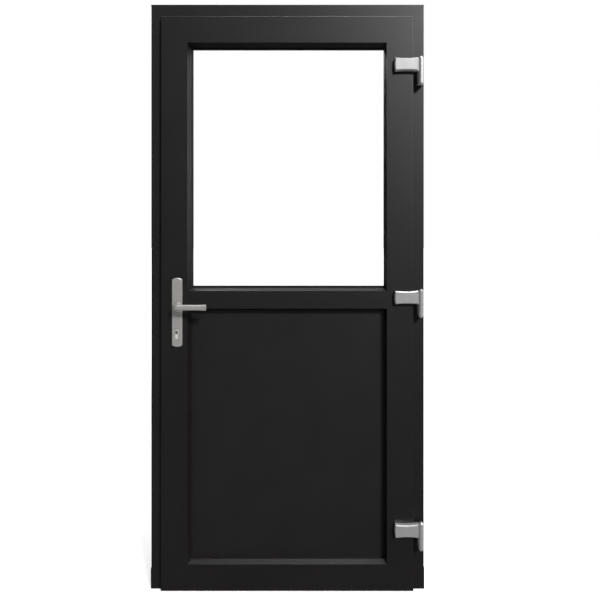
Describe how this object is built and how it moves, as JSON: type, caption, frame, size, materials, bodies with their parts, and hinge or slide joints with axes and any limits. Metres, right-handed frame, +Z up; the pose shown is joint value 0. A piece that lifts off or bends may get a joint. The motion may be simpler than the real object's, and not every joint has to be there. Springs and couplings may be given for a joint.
{
  "type": "half-glazed door with frame",
  "caption": "Half-glazed entrance door in its frame: swinging leaf with glass above and a panel below, lever handles, mortise lock and surface hinges.",
  "frame": {"origin": "on the floor, in the middle of the frame's width and depth, on the threshold's underside", "axes": "+X to the hinge side, +Y from the face with the hinges to the other face, +Z up"},
  "size_m": [0.983, 0.186, 2.1],
  "materials": {
    "leaf_foil": "anthracite foil with a fine grain",
    "zinc_steel": "zinc plated",
    "seal_rubber": "black rubber",
    "nickel": "nickel plated",
    "lock_steel": "zinc plated",
    "foot_plastic": "dark moulded plastic",
    "pane_glass": "clear float glass",
    "bead_foil": "anthracite foil with a fine grain",
    "packer_plastic": "moulded plastic",
    "frame_foil": "anthracite foil with a fine grain",
    "hinge_silver": "silver powder coat",
    "handle_satin": "satin anodised",
    "panel_skin": "anthracite foil, smooth",
    "spacer_aluminium": "mill finish",
    "sill_aluminium": "dark anodised"
  },
  "bodies": {
    "frame": {"head_bar": "frame_foil", "jamb_left": "frame_foil", "jamb_right": "frame_foil", "jamb_steel_left": "zinc_steel", "jamb_steel_right": "zinc_steel", "threshold": "sill_aluminium", "foot_plate_left": "foot_plastic", "foot_plate_right": "foot_plastic", "frame_gasket": "seal_rubber", "strike_plate": "lock_steel", "strike_screws": "lock_steel", "hinge_foot_low": "hinge_silver", "hinge_foot_mid": "hinge_silver", "hinge_foot_top": "hinge_silver", "hinge_pins": "lock_steel", "hinge_foot_screws": "lock_steel"},
    "leaf": {"bottom_rail": "leaf_foil", "bottom_rail_steel": "zinc_steel", "bottom_seal": "seal_rubber", "cylinder_body": "nickel", "cylinder_screw": "lock_steel", "faceplate_screws": "lock_steel", "front_pane": "pane_glass", "glass_bead_bottom": "bead_foil", "glass_bead_left": "bead_foil", "glass_bead_right": "bead_foil", "glass_bead_top": "bead_foil", "glazing_packers": "packer_plastic", "hinge_leaf_low": "hinge_silver", "hinge_leaf_mid": "hinge_silver", "hinge_leaf_top": "hinge_silver", "hinge_stile": "leaf_foil", "hinge_stile_steel": "zinc_steel", "leaf_gasket": "seal_rubber", "lock_case": "lock_steel", "lock_faceplate": "lock_steel", "lock_stile": "leaf_foil", "lock_stile_steel": "zinc_steel", "lower_panel": "panel_skin", "mid_rail": "leaf_foil", "mid_rail_steel": "zinc_steel", "pane_spacer": "spacer_aluminium", "panel_bead_bottom": "bead_foil", "panel_bead_left": "bead_foil", "panel_bead_right": "bead_foil", "panel_bead_top": "bead_foil", "plate_front": "handle_satin", "plate_rear": "handle_satin", "plate_screws": "lock_steel", "rear_pane": "pane_glass", "top_rail": "leaf_foil", "top_rail_steel": "zinc_steel"},
    "handle": {"lever_front": "handle_satin", "lever_rear": "handle_satin", "spindle": "lock_steel", "follower": "lock_steel"},
    "latch": {"latch_bolt": "lock_steel"},
    "deadlock": {"dead_bolt": "lock_steel"},
    "front_plug": {"key_plug_front": "nickel"},
    "rear_plug": {"key_plug_rear": "nickel"}
  },
  "joints": [
    {"name": "door_swing", "type": "hinge", "parent": "frame", "child": "leaf", "pos_m": [0.476, -0.064, 0], "axis": [0, 0, 1], "range_deg": [0, 170]},
    {"name": "handle_turn", "type": "hinge", "parent": "leaf", "child": "handle", "pos_m": [-0.39, -0.02, 1.019], "axis": [0, 1, 0], "range_deg": [0, 45], "stiffness_Nm_per_rad": 2, "springref_deg": -20.05},
    {"name": "latch_slide", "type": "slide", "parent": "leaf", "child": "latch", "axis": [1, 0, 0], "range_m": [0, 0.014]},
    {"name": "key_turn", "type": "hinge", "parent": "leaf", "child": "front_plug", "pos_m": [-0.39, -0.02, 0.927], "axis": [0, 1, 0], "range_deg": [0, 360]},
    {"name": "deadlock_slide", "type": "slide", "parent": "leaf", "child": "deadlock", "axis": [-1, 0, 0], "range_m": [0, 0.02]},
    {"name": "rear_key_turn", "type": "hinge", "parent": "leaf", "child": "rear_plug", "pos_m": [-0.39, -0.02, 0.927], "axis": [0, 1, 0], "range_deg": [0, 360]}
  ],
  "couplings": [
    {"joint": "latch_slide", "follows": "handle_turn", "m_per_rad": 0.01782},
    {"joint": "key_turn", "follows": "deadlock_slide", "rad_per_m": 314.15}
  ]
}
